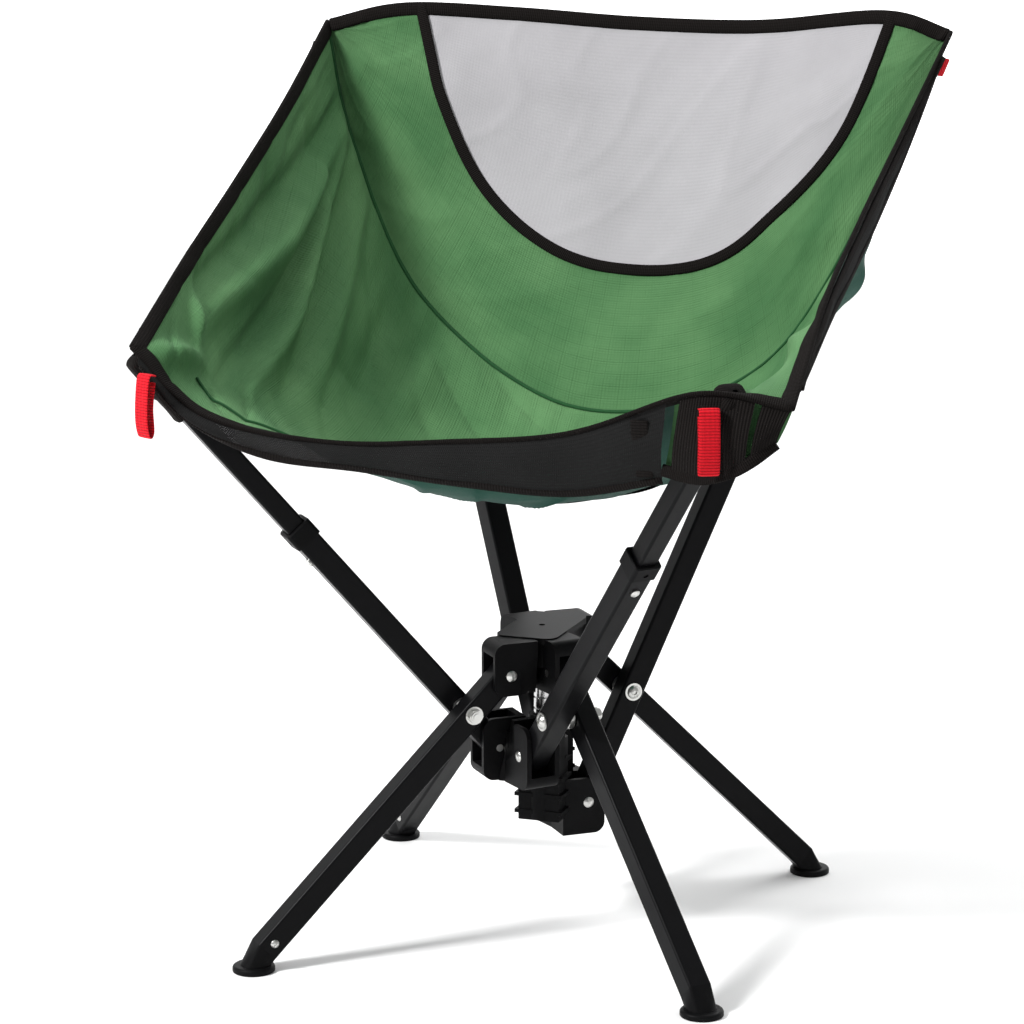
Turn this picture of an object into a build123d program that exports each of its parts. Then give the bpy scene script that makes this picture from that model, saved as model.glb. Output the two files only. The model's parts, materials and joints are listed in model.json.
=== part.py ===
from build123d import *
import os
from math import cos, radians, sin

# Four-legged folding bucket chair, in millimetres. +Z is up, the sitter faces -Y and
# the floor is Z = 0. In each corner a leg and an arm cross at a bolt and make one scissor
# pair. The four legs hang from the upper hub, the four arms stand on the lower hub, and
# the seat fabric hangs from the four arm tips.

# --- driving dimensions: frame --------------------------------------------------------
TUBE_SIDE = 19.0            # outer side of the leg tube and of the arm's outer tube
TUBE_WALL = 1.2
TUBE_CORNER = 2.2           # outside corner radius of the square tubes
INNER_SIDE = 16.2           # outer side of the telescoping inner tube
INNER_WALL = 1.1
PAIR_GAP = 6.0              # between the leg and the arm of one pair
OFFSET = (TUBE_SIDE + PAIR_GAP) / 2     # tube axis from the pair's middle plane

UPPER_PIN_Z = 217.5         # leg pins in the upper hub
FRONT_X, FRONT_Y = 20.5, -44.0          # middle of the front right pair at the upper pin
BACK_X, BACK_Y = 19.0, 44.0             # middle of the back right pair at the upper pin
FRONT_SPREAD = 48.5         # heading of the front pairs, away from -Y
BACK_SPREAD = 50.0          # heading of the back pairs, away from +Y

FRONT_LEG_ANGLE = 45.0      # tube angles are measured from the vertical
FRONT_ARM_ANGLE = 40.75
FRONT_LEG_TO_BOLT = 42.0
FRONT_ARM_TO_BOLT = 45.5
BACK_LEG_ANGLE = 45.4
BACK_ARM_ANGLE = 24.8
BACK_LEG_TO_BOLT = 50.0
BACK_ARM_TO_BOLT = 96.0

FRONT_MOUTH = 246.0         # mouth of the arm's outer tube, from the lower pin
FRONT_TIP = 424.0           # end of the arm's inner tube
BACK_MOUTH = 346.0
BACK_TIP = 650.0
INSERTION = 46.0            # inner tube inside the outer tube when the seat is up
BUTTON_DOWN = 27.0          # snap button's centre, below the mouth

PIN_R = 3.0
RUNNING_GAP = 0.05          # radial, round every pin that turns in its hole
LOOSE_HOLE_R = 4.7          # leg holes on the pins where the linkage is opened
OVERHANG = 9.5              # tube beyond its hub pin
FACE_GAP = 0.2              # between stacked washers, tubes and heads

FOLD_ANGLE = 33.5           # travel of the front arms from open to folded
FRONT_LEG_RATIO = 1.1088    # leg turn for each degree of front arm turn
BACK_LEG_RATIO = 1.1187
BACK_ARM_RATIO = 0.534

# --- driving dimensions: seat ---------------------------------------------------------
SHEET = 3.0                 # thickness of the seat panels
BACK_FOOT_Y, BACK_FOOT_Z = 102.0, 402.0     # bottom of the back panel
BACK_TOP_Y, BACK_TOP_Z = 184.0, 700.0       # top of the back panel

# Seat pan from the front hem to the back seam: centre line, then right-hand edge.
PAN_CENTRE = [(0, -223, 428), (0, -165, 383), (0, -50, 358), (0, 45, 370), (0, 99, 399)]
PAN_EDGE = [(176, -228, 447), (164, -150, 402), (150, -50, 385), (146, 50, 402), (144, 108, 448)]
# Side panel of the right-hand side, front to back: lower edge, then rim.
SIDE_FOOT = [
    (174, -182, 423), (165, -140, 402), (153, -50, 388), (149, 50, 406),
    (150, 106, 452), (198, 128, 530), (238, 154, 625),
]
SIDE_RIM = [
    (250, -156, 502), (257, -115, 522), (264, -50, 550), (267, 30, 590),
    (266, 90, 624), (264, 136, 652), (260, 172, 678),
]

os.makedirs("parts", exist_ok=True)
CORNERS = ("fl", "fr", "br", "bl")
nodes = {}


def heading(azimuth):
    """Horizontal unit vector at an azimuth measured from +X towards +Y."""
    return Vector(cos(radians(azimuth)), sin(radians(azimuth)), 0)


def ray(angle, rise):
    """Unit vector of a tube in the pair's plane, leaning outward by an angle."""
    return Vector(sin(radians(angle)), rise * cos(radians(angle)))


class Pair:
    """One scissor pair. Its plane has X outward and Y up, from the upper pin's axis."""

    def __init__(self, corner):
        side = 1 if corner[1] == "r" else -1
        if corner[0] == "f":
            azimuth = side * FRONT_SPREAD - 90
            middle = Vector(side * FRONT_X, FRONT_Y, 0)
            self.angles = (FRONT_ARM_ANGLE, FRONT_LEG_ANGLE)
            self.ratios = (1.0, FRONT_LEG_RATIO)
            self.reach = (FRONT_ARM_TO_BOLT, FRONT_LEG_TO_BOLT)
            self.mouth, self.tip = FRONT_MOUTH, FRONT_TIP
        else:
            azimuth = 90 - side * BACK_SPREAD
            middle = Vector(side * BACK_X, BACK_Y, 0)
            self.angles = (BACK_ARM_ANGLE, BACK_LEG_ANGLE)
            self.ratios = (BACK_ARM_RATIO, BACK_LEG_RATIO)
            self.reach = (BACK_ARM_TO_BOLT, BACK_LEG_TO_BOLT)
            self.mouth, self.tip = BACK_MOUTH, BACK_TIP
        self.out = heading(azimuth)
        self.across = heading(azimuth + 90)
        self.middle = middle
        self.side = side
        self.leg_pin = Vector(0, UPPER_PIN_Z)
        self.bolt = self.leg_pin + ray(self.angles[1], -1) * self.reach[1]
        self.arm_pin = self.bolt - ray(self.angles[0], 1) * self.reach[0]
        self.leg_length = (UPPER_PIN_Z - FOOT_AXIS_Z) / cos(radians(self.angles[1]))

    def plane(self, shift=0.0):
        """The pair's plane, shifted sideways; sketches on it are outward and up."""
        return Plane(self.middle + self.across * shift, x_dir=self.out, z_dir=-self.across)

    def at(self, point, shift=0.0):
        """Point in space from a point in the pair's plane."""
        return self.plane(shift).from_local_coords(Vector(point.X, point.Y, 0))

    def leg(self):
        """Local Z down the leg from its pin, local X across, local Y to its upper side."""
        slope = radians(self.angles[1])
        down = self.out * sin(slope) - Vector(0, 0, cos(slope))
        return Plane(self.at(self.leg_pin, OFFSET), x_dir=self.across, z_dir=down).location

    def arm(self):
        """Local Z up the arm from its pin, local Y to its outer, lower side."""
        slope = radians(self.angles[0])
        up = self.out * sin(slope) + Vector(0, 0, cos(slope))
        return Plane(self.at(self.arm_pin, -OFFSET), x_dir=-self.across, z_dir=up).location

    def cross(self, point):
        """Local Z across the pair, for pins and bolts."""
        return Plane(self.at(point), x_dir=self.out, z_dir=self.across).location


def bar(side, start, end, corner=TUBE_CORNER):
    """Solid square bar along local Z."""
    return Pos(0, 0, start) * extrude(RectangleRounded(side, side, corner), end - start)


def square_tube(side, wall, start, end):
    """Hollow square tube along local Z."""
    return bar(side, start, end) - bar(side - 2 * wall, start - 1, end + 1, TUBE_CORNER - wall)


def rod(radius, start, end):
    """Round bar along local Z."""
    return Pos(0, 0, (start + end) / 2) * Cylinder(radius, end - start)


def cross_rod(radius, along, start=-TUBE_SIDE, end=TUBE_SIDE):
    """Round bar along local X, at a distance along local Z."""
    return Pos(0, 0, along) * Rot(0, 90, 0) * rod(radius, start, end)


def outer_rod(radius, along, start, end):
    """Round bar along local Y, at a distance along local Z."""
    return Pos(0, 0, along) * Rot(-90, 0, 0) * rod(radius, start, end)


def dome(radius, height, base):
    """Low domed head on local Z, standing on a base."""
    ball_r = (radius * radius + height * height) / (2 * height)
    ball = Pos(0, 0, base + height - ball_r) * Sphere(ball_r)
    return ball & rod(radius, base, base + height + 1)


FLIP = Rot(180, 0, 0)

# --- legs and feet --------------------------------------------------------------------
FOOT_AXIS_Z = 8.0           # height at which the leg's axis crosses the pad's axis
FOOT_STANDOFF = 12.0        # from that crossing to the tube's end
FOOT_SCREW_UP = 8.5         # foot screw's centre, above the tube's end
FOOT_PLUG = 22.0
PLUG_GAP = 0.15
PAD_R = 16.5
PAD_H = 5.0
NECK_R = 12.0
SCREW_R = 2.0


def leg_tube(pair, top_hole_r):
    end = pair.leg_length - FOOT_STANDOFF
    tube = square_tube(TUBE_SIDE, TUBE_WALL, -OVERHANG, end)
    tube -= cross_rod(top_hole_r, 0)
    tube -= cross_rod(PIN_R + RUNNING_GAP, pair.reach[1])
    tube -= cross_rod(SCREW_R + RUNNING_GAP, end - FOOT_SCREW_UP, 0)
    return pair.leg() * tube


def foot(pair):
    """Plastic foot: a plug in the tube, a tapering neck and a round pad."""
    end = pair.leg_length - FOOT_STANDOFF
    plug_side = TUBE_SIDE - 2 * (TUBE_WALL + PLUG_GAP)
    plug = bar(plug_side, end - FOOT_PLUG, end, 1.0)
    plug -= cross_rod(SCREW_R + RUNNING_GAP, end - FOOT_SCREW_UP, 0)
    centre = pair.leg() * Pos(0, 0, pair.leg_length)
    spot = Pos(centre.position.X, centre.position.Y, 0)
    pad = spot * rod(PAD_R, 0, PAD_H)
    rims = pad.edges().filter_by(GeomType.CIRCLE).sort_by(Axis.Z)
    pad = fillet(rims[-1], 2.2)
    rims = pad.edges().filter_by(GeomType.CIRCLE).sort_by(Axis.Z)
    pad = fillet(rims[0], 0.8)
    top = pair.leg() * Pos(0, 0, end) * RectangleRounded(TUBE_SIDE, TUBE_SIDE, TUBE_CORNER)
    base = spot * Pos(0, 0, PAD_H / 2) * Circle(NECK_R)
    neck = loft([base.face(), top.face()])
    return pair.leg() * plug + neck + pad


# --- bolts, washers, nuts and screws -----------------------------------------------------
WASHER_R = 7.2
WASHER_T = 1.0
HEAD_R = 5.6
HEAD_H = 3.0
NUT_FLATS = 10.0
NUT_H = 4.2
NUT_COLLAR_H = 1.4


def crossing_bolt(pair):
    """Domed bolt, two washers and a lock nut where the leg crosses the arm."""
    face = OFFSET + TUBE_SIDE / 2 + FACE_GAP
    seat = face + WASHER_T
    washer = rod(WASHER_R, face, seat) - rod(PIN_R + 0.1, 0, 60)
    tail = seat + NUT_H + NUT_COLLAR_H + 0.8
    head = FLIP * dome(HEAD_R, HEAD_H, seat)
    socket = Pos(0, 0, -seat - HEAD_H) * extrude(RegularPolygon(1.9, 6), 1.5)
    bolt = head + rod(PIN_R, -seat - 0.5, tail) - socket
    nut = Pos(0, 0, seat) * extrude(RegularPolygon(NUT_FLATS / 2, 6, major_radius=False), NUT_H)
    nut += rod(4.4, seat + NUT_H, seat + NUT_H + NUT_COLLAR_H)
    nut -= rod(PIN_R + 0.02, seat - 1, tail + 1)
    return [pair.cross(pair.bolt) * item for item in (bolt, nut, washer, FLIP * washer)]


def foot_screw(pair):
    """Cross-recess screw that holds the foot in the leg."""
    face = TUBE_SIDE / 2 + FACE_GAP
    screw = dome(3.4, 1.8, face) + rod(SCREW_R, 2.0, face + 0.5)
    slot = Pos(0, 0, face + 1.5) * Box(3.6, 0.8, 1.2)
    screw -= slot + Rot(0, 0, 90) * slot
    along = pair.leg_length - FOOT_STANDOFF - FOOT_SCREW_UP
    return pair.leg() * Pos(0, 0, along) * Rot(0, 90, 0) * screw


def pivot_spacer(pair):
    """Ring that keeps the leg and the arm apart on their bolt."""
    half = PAIR_GAP / 2 - FACE_GAP
    ring = rod(8.6, -half, half) - rod(PIN_R + 0.1, -half - 1, half + 1)
    rims = ring.edges().filter_by(GeomType.CIRCLE).filter_by(lambda e: e.radius > 8)
    return pair.cross(pair.bolt) * chamfer(rims, 0.6)


def leg_fasteners(pair):
    return Compound(crossing_bolt(pair) + [pivot_spacer(pair), foot_screw(pair)])


# --- arms, inner tubes and their tips ----------------------------------------------------
BUTTON_R = 3.6
BUTTON_GAP = 0.3
BUTTON_OUT = 2.8            # button's crown outside the outer tube
RIVET_R = 2.2
RIVET_DOWN = 24.0           # tip rivet's centre, below the inner tube's end
COLLAR_SIDE = 22.4
CAP_SIDE = 17.6
CAP_H = 5.0
POCKET_INSIDE = 19.0
POCKET_WALL = 1.4
POCKET_DOWN = 50.0
POCKET_UP = 8.0
LOOP_T = 2.6                # two layers of webbing
LOOP_WIDTH = 16.0
LOOP_OUT = 24.0             # a back loop's reach from its pocket


def arm_tube(pair):
    tube = square_tube(TUBE_SIDE, TUBE_WALL, -OVERHANG, pair.mouth)
    tube -= cross_rod(PIN_R + RUNNING_GAP, 0)
    tube -= cross_rod(PIN_R + RUNNING_GAP, pair.reach[0])
    tube -= outer_rod(BUTTON_R + BUTTON_GAP, pair.mouth - BUTTON_DOWN, 0, TUBE_SIDE)
    return pair.arm() * tube


def arm_collar(pair):
    """Guide collar over the mouth of the outer tube, with a dimple on its outer side."""
    body = bar(COLLAR_SIDE, pair.mouth - 11, pair.mouth + 3.5, 3.0)
    body = chamfer(body.faces().sort_by(Axis.Z)[-1].edges(), 0.8)
    body -= bar(TUBE_SIDE + 0.3, pair.mouth - 12, pair.mouth + FACE_GAP)
    body -= bar(INNER_SIDE + 0.7, pair.mouth - 1, pair.mouth + 5)
    body -= outer_rod(2.0, pair.mouth - 5, COLLAR_SIDE / 2 - 0.8, COLLAR_SIDE)
    return pair.arm() * body


def inner_tube(pair):
    tube = square_tube(INNER_SIDE, INNER_WALL, pair.mouth - INSERTION, pair.tip)
    tube -= outer_rod(BUTTON_R + BUTTON_GAP, pair.mouth - BUTTON_DOWN, 0, TUBE_SIDE)
    tube -= outer_rod(RIVET_R + 0.1, pair.tip - RIVET_DOWN, 0, TUBE_SIDE)
    return pair.arm() * tube


def tip_cap(pair):
    """Plastic cap in the inner tube's end, and the rivet that holds the fabric to it."""
    plug_side = INNER_SIDE - 2 * (INNER_WALL + PLUG_GAP)
    cap = bar(CAP_SIDE, pair.tip + FACE_GAP, pair.tip + CAP_H, 3.0)
    cap = fillet(cap.faces().sort_by(Axis.Z)[-1].edges(), 1.6)
    cap += bar(plug_side, pair.tip - 14, pair.tip + 1, 1.0)
    outside = POCKET_INSIDE / 2 + POCKET_WALL + FACE_GAP
    rivet = dome(5.2, 2.0, outside) + rod(RIVET_R, 5.0, outside + 0.5)
    rivet = Pos(0, 0, pair.tip - RIVET_DOWN) * Rot(-90, 0, 0) * rivet
    return Compound([pair.arm() * cap, pair.arm() * rivet])


def snap_button(pair):
    """Sprung button, pushed inward to let the inner tube slide."""
    crown = dome(BUTTON_R, 1.6, TUBE_SIDE / 2 + BUTTON_OUT - 1.6)
    body = crown + rod(BUTTON_R, 5.2, TUBE_SIDE / 2 + BUTTON_OUT - 1.6) + rod(4.8, 5.2, 6.2)
    return pair.arm() * Pos(0, 0, pair.mouth - BUTTON_DOWN) * Rot(-90, 0, 0) * body


def button_spring(pair):
    """Folded leaf that pushes the button outward from inside the inner tube."""
    base = pair.mouth - BUTTON_DOWN
    line = Polyline((4.4, base - 6), (4.4, base + 6), (-1.0, base + 34), (-6.2, base - 8))
    leaf = extrude(trace(line, 0.7), 3.5, both=True)
    return pair.arm() * Plane.YZ.location * leaf


def corner_pocket(pair):
    """Webbing pocket sewn round the arm tip."""
    low, high = pair.tip - POCKET_DOWN, pair.tip + POCKET_UP
    sleeve = bar(POCKET_INSIDE + 2 * POCKET_WALL, low, high, 4.0)
    sleeve -= bar(POCKET_INSIDE, low - 1, high - POCKET_WALL, 3.0)
    sleeve -= outer_rod(RIVET_R + 0.4, pair.tip - RIVET_DOWN, 0, TUBE_SIDE)
    return pair.arm() * sleeve


def pull_loop(pair):
    """Webbing loop: flat against a front pocket's side, standing out behind a back pocket."""
    inner = POCKET_INSIDE / 2 + POCKET_WALL + 0.6
    if pair.mouth == BACK_MOUTH:
        loop = Pos(0, inner + LOOP_OUT / 2, pair.tip - 6) * Box(LOOP_T, LOOP_OUT, LOOP_WIDTH)
        return pair.arm() * loop
    strip = Pos(inner + LOOP_T / 2, -1, pair.tip - 22) * Box(LOOP_T, LOOP_WIDTH, 56)
    strip = fillet(strip.edges().filter_by(Axis.X), 3.0)
    outward_x = pair.across.X * pair.side > 0
    return pair.arm() * (Rot(0, 0, 180) * strip if outward_x else strip)


# --- hubs --------------------------------------------------------------------------------
CHEEK_T = 4.0               # wall of a clevis beside a tube
CHEEK_GAP = 0.9             # tube to cheek
NOSE = 14.0                 # cheek outside the pin
POCKET_IN = 16.0            # pocket inside the pin
RELIEF = 0.8                # clearance round the tubes over the whole fold
FOLD_STEPS = 5
POST_R = 6.5
POST_GAP = 0.8
SLOT = TUBE_SIDE + 2 * CHEEK_GAP
CLEVIS = SLOT + 2 * CHEEK_T


def slab(pair, shift, width, low, high):
    """Block in a pair's plane, between two corners of its side view."""
    centre = ((low[0] + high[0]) / 2, (low[1] + high[1]) / 2)
    outline = Pos(*centre) * Rectangle(high[0] - low[0], high[1] - low[1])
    return pair.plane(shift).location * extrude(outline, width / 2, both=True)


def clevis(pair, shift, pin, low, high):
    """Solid lump for one tube's end, with a rounded outer edge on both cheeks."""
    start = (pin.X - POCKET_IN - 6, pin.Y + low)
    end = (pin.X + NOSE, pin.Y + high)
    lump = slab(pair, shift, CLEVIS, start, end)
    outline = lump.edges().filter_by(lambda e: abs(e.tangent_at(0).dot(pair.across)) > 0.99)
    nose = outline.sort_by(lambda e: -e.center().dot(pair.out))[:2]
    return fillet(nose, 9.0)


def travel(pair, is_leg, with_upper_hub):
    """Space one tube sweeps past a hub over the whole fold, with clearance round it."""
    side = TUBE_SIDE + 2 * RELIEF
    blanks = []
    for step in range(FOLD_STEPS + 1):
        turn = FOLD_ANGLE * step / FOLD_STEPS
        arm_angle = pair.angles[0] - pair.ratios[0] * turn
        leg_angle = pair.angles[1] - pair.ratios[1] * turn
        bolt = pair.arm_pin + ray(arm_angle, 1) * pair.reach[0]
        leg_pin = bolt - ray(leg_angle, -1) * pair.reach[1]
        start = leg_pin if is_leg else pair.arm_pin
        lean = leg_angle - 180 if is_leg else -arm_angle
        if with_upper_hub:
            start = start - (leg_pin - pair.leg_pin)
        tube = Pos(0, 100 - (OVERHANG + RELIEF) / 2) * Rectangle(side, 200 + OVERHANG + RELIEF)
        blanks += (Pos(start.X, start.Y) * Rot(0, 0, lean) * tube).edges()
    sweep = make_hull(blanks)
    shift = OFFSET if is_leg else -OFFSET
    return pair.plane(shift).location * extrude(sweep, side / 2, both=True)


def hub_pin(pair, pin, shift, flush):
    """Headed pin across a clevis, flush on the side that faces the other tube."""
    half = CLEVIS / 2
    pin_shape = rod(PIN_R, -half + FACE_GAP, half + FACE_GAP)
    pin_shape += dome(4.4, 1.8, half + FACE_GAP)
    turned = pin_shape if flush < 0 else FLIP * pin_shape
    return pair.cross(pin) * Pos(0, 0, shift) * turned


def pin_hole(pair, pin, shift):
    return pair.cross(pin) * Pos(0, 0, shift) * rod(PIN_R + RUNNING_GAP, -CLEVIS, CLEVIS)


def drilled(hub, pairs, is_upper):
    """Opens the pockets, drills the pin holes and clears the path of every tube."""
    for pair in pairs:
        pin = pair.leg_pin if is_upper else pair.arm_pin
        shift = OFFSET if is_upper else -OFFSET
        low = (pin.X - POCKET_IN, pin.Y - (90 if is_upper else 15.5))
        high = (pin.X + 60, pin.Y + (15.5 if is_upper else 110))
        hub -= slab(pair, shift, SLOT, low, high)
        hub -= pin_hole(pair, pin, shift)
        hub -= travel(pair, True, is_upper)
        hub -= travel(pair, False, is_upper)
    return hub


def lower_hub(pairs):
    """Base the arms stand on: front pockets high, back pockets low, a sleeve for the post."""
    hub = Pos(0, -24, 147) * Box(40, 46, 40)
    hub += Pos(0, 14, 118) * Box(34, 46, 66)
    for rib_z in (92, 106, 120, 134):
        hub += Pos(0, 14, rib_z) * Box(40, 48, 3)
    hub += rod(POST_R + POST_GAP + 3.5, 86, 172)
    for pair in pairs:
        front = pair.mouth == FRONT_MOUTH
        hub += clevis(pair, -OFFSET, pair.arm_pin, -26, 24 if front else 20)
    hub = drilled(hub, pairs, False)
    return hub - rod(POST_R + POST_GAP, 100, 180)


def upper_hub(pairs):
    """Cap the legs hang from, with its pockets open downward."""
    top = UPPER_PIN_Z + 27
    hub = Pos(0, 0, top - 5) * extrude(RectangleRounded(50, 88, 10), 5)
    hub += Pos(0, 0, top - 14) * Box(42, 84, 20)
    hub += Pos(0, 0, UPPER_PIN_Z - 2) * Box(26, 58, 30)
    for pair in pairs:
        hub += clevis(pair, OFFSET, pair.leg_pin, -16, 26)
    hub = drilled(hub, pairs, True)
    return hub - rod(POST_R + RUNNING_GAP, 150, top - 6) - rod(2.6, 200, top + 1)


def centre_post():
    """Grooved post fixed in the upper hub that slides in the lower hub's sleeve."""
    post = rod(POST_R, 118, UPPER_PIN_Z + 20)
    for groove_z in range(150, 196, 9):
        ring = Pos(0, 0, groove_z) * Torus(POST_R, 0.8)
        post -= ring
    return chamfer(post.edges().filter_by(GeomType.CIRCLE).sort_by(Axis.Z)[0], 1.0)


# --- seat fabric -------------------------------------------------------------------------
def mirrored(point):
    return (-point[0], point[1], point[2])


def panel(rows, shift):
    """Closed faceted sheet between a grid of points and the same grid shifted."""
    step = Vector(*shift)
    near = [[Vector(*point) for point in row] for row in rows]
    far = [[point + step for point in row] for row in near]
    faces = []
    for grid in (near, far):
        for row, following in zip(grid, grid[1:]):
            for i in range(len(row) - 1):
                faces.append(polygon(row[i], row[i + 1], following[i]))
                faces.append(polygon(row[i + 1], following[i + 1], following[i]))
    count = len(near)
    width = len(near[0])
    loop = [(0, j) for j in range(width)] + [(i, width - 1) for i in range(1, count)]
    loop += [(count - 1, j) for j in range(width - 2, -1, -1)]
    loop += [(i, 0) for i in range(count - 2, 0, -1)]
    for (i, j), (k, m) in zip(loop, loop[1:] + loop[:1]):
        faces.append(polygon(near[i][j], near[k][m], far[i][j]))
        faces.append(polygon(near[k][m], far[k][m], far[i][j]))
    return Solid(Shell(faces))


def polygon(*points):
    return Face(Wire.make_polygon(points, close=True))


def seat_base():
    """Seat pan, hanging from the front hem to the back seam."""
    rows = []
    for centre, edge in zip(PAN_CENTRE, PAN_EDGE):
        row = []
        for step in range(-3, 4):
            across = step / 3
            bow = across * across
            y = centre[1] + (edge[1] - centre[1]) * bow
            z = centre[2] + (edge[2] - centre[2]) * bow
            row.append((edge[0] * across, y, z))
        rows.append(row)
    return panel(rows, (0, 0, -SHEET))


def seat_side(side):
    """Side panel between the pan and the rim, bulging outward."""
    rows = []
    for foot_point, rim_point in zip(SIDE_FOOT, SIDE_RIM):
        middle = [(a + b) / 2 for a, b in zip(foot_point, rim_point)]
        bulged = (middle[0] + 8, middle[1], middle[2] - 8)
        row = [foot_point, bulged, rim_point]
        rows.append(row if side > 0 else [mirrored(point) for point in row])
    return panel(rows, (side * SHEET, 0, 0))


def side_band(side):
    """Mesh band outside the side panel, under the rim."""
    rows = []
    for point in SIDE_RIM[1:6]:
        row = [(point[0] + 7, point[1], point[2] - 2), (point[0] + 3, point[1], point[2] - 38)]
        rows.append(row if side > 0 else [mirrored(corner) for corner in row])
    return panel(rows, (side * 1.6, 0, 0))


def back_plane():
    """Sketch plane of the back panel: X across, Y up its slope."""
    slope = Vector(0, BACK_TOP_Y - BACK_FOOT_Y, BACK_TOP_Z - BACK_FOOT_Z).normalized()
    normal = Vector(1, 0, 0).cross(slope)
    return Plane((0, BACK_FOOT_Y, BACK_FOOT_Z), x_dir=(1, 0, 0), z_dir=normal)


def back_outline(half_top, half_low, top, low):
    """U shape: straight across the top, a long curve round the bottom."""
    curve = Spline(
        (-half_top, top), (-half_low, (top + low) / 2 - 20), (0, low),
        (half_low, (top + low) / 2 - 20), (half_top, top),
        tangents=((0, -1), (0, 1)),
    )
    return make_face(curve + Line((half_top, top), (-half_top, top)))


BACK_HEIGHT = 309.0
INSERT_LOW = 102.0


def seat_back():
    """Green border of the back, round the insert."""
    border = back_outline(238, 196, BACK_HEIGHT, 4)
    border -= back_outline(201.5, 167.5, BACK_HEIGHT + 1, INSERT_LOW - 1.5)
    return back_plane().location * extrude(border, -SHEET)


def back_insert():
    insert = back_outline(200, 166, BACK_HEIGHT, INSERT_LOW)
    return back_plane().location * extrude(insert, -SHEET)


def piping(points, radius):
    """Round cord through a few points, mitred by a ball at each bend."""
    cord = Sphere(radius).moved(Pos(*points[0]))
    for start, end in zip(points, points[1:]):
        run = Vector(*end) - Vector(*start)
        straight = Plane(start, z_dir=run).location * rod(radius, 0, run.length)
        cord += straight
        cord += Pos(*end) * Sphere(radius)
    return cord


BINDING_R = 3.4


def rim_binding():
    """Bound edge: front hem, both side rims and the top of the back."""
    front = []
    for step in range(-3, 4):
        bow = (step / 3) ** 2
        centre, edge = PAN_CENTRE[0], PAN_EDGE[0]
        y = centre[1] + (edge[1] - centre[1]) * bow
        z = centre[2] + (edge[2] - centre[2]) * bow
        front.append((edge[0] * step / 3, y, z + BINDING_R + 2))
    right = [(x + 1.5, y, z + BINDING_R + 2) for x, y, z in SIDE_RIM]
    left = [mirrored(point) for point in right]
    top_y = BACK_TOP_Y + 4
    top = [(-196, top_y, BACK_TOP_Z + 9), (0, top_y, BACK_TOP_Z + 5), (196, top_y, BACK_TOP_Z + 9)]
    return Compound([piping(points, BINDING_R) for points in (front, right, left, top)])


def front_skirt():
    """Mesh skirt that hangs below the front hem."""
    outline = Polygon(
        (-176, 441), (-118, 428), (-60, 423), (60, 423), (118, 428), (176, 441),
        (168, 399), (60, 392), (-30, 400), (-110, 407), (-178, 428), align=None,
    )
    plane = Plane((0, -233, 0), x_dir=(1, 0, 0), z_dir=(0, -1, 0))
    return plane.location * extrude(outline, 1.8)


def front_strap():
    """Upright webbing strip stitched on the skirt."""
    return Pos(96, -237.2, 411) * Box(13, 1.8, 34)


# --- nodes -------------------------------------------------------------------------------
PAIRS = {corner: Pair(corner) for corner in CORNERS}
pairs = list(PAIRS.values())

for corner, pair in PAIRS.items():
    tight = corner == "fl"
    nodes["leg_tube_" + corner] = leg_tube(pair, PIN_R + RUNNING_GAP if tight else LOOSE_HOLE_R)
    nodes["foot_" + corner] = foot(pair)
    nodes["leg_fasteners_" + corner] = leg_fasteners(pair)
    nodes["arm_tube_" + corner] = arm_tube(pair)
    nodes["arm_collar_" + corner] = arm_collar(pair)
    nodes["inner_tube_" + corner] = inner_tube(pair)
    nodes["tip_cap_" + corner] = tip_cap(pair)
    nodes["snap_button_" + corner] = snap_button(pair)
    nodes["button_spring_" + corner] = button_spring(pair)
    nodes["corner_pocket_" + corner] = corner_pocket(pair)
    nodes["pull_loop_" + corner] = pull_loop(pair)

nodes["lower_hub"] = lower_hub(pairs)
nodes["upper_hub"] = upper_hub(pairs)
nodes["lower_hub_pins"] = Compound([hub_pin(p, p.arm_pin, -OFFSET, 1) for p in pairs])
nodes["upper_hub_pins"] = Compound([hub_pin(p, p.leg_pin, OFFSET, -1) for p in pairs])
nodes["centre_post"] = centre_post()
nodes["seat_base"] = seat_base()
nodes["seat_side_l"] = seat_side(-1)
nodes["seat_side_r"] = seat_side(1)
nodes["seat_back"] = seat_back()
nodes["back_insert"] = back_insert()
nodes["side_bands"] = Compound([side_band(-1), side_band(1)])
nodes["rim_binding"] = rim_binding()
nodes["front_skirt"] = front_skirt()
nodes["front_strap"] = front_strap()

for name, shape in nodes.items():
    export_step(shape, "parts/" + name + ".step")
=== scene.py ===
import json
import math

import bmesh
import bpy
import numpy as np
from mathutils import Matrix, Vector, noise


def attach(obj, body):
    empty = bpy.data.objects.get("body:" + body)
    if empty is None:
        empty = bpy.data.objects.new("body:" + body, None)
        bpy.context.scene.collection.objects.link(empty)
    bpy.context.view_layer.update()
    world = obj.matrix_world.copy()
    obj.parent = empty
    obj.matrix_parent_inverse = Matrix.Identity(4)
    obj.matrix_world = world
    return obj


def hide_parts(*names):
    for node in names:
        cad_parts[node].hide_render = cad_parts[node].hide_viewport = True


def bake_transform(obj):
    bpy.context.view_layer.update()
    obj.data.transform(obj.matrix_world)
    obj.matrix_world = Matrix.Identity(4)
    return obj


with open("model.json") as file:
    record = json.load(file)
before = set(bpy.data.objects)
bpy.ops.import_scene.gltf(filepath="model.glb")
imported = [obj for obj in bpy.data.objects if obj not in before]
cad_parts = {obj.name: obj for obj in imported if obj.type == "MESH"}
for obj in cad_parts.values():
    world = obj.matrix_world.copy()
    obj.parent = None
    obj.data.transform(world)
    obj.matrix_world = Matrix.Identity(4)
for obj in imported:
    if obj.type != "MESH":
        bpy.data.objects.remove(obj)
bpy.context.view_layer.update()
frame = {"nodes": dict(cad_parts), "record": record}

MM = 0.001
SPECULAR = 0.07             # every surface is dull, so that black stays black
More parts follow.
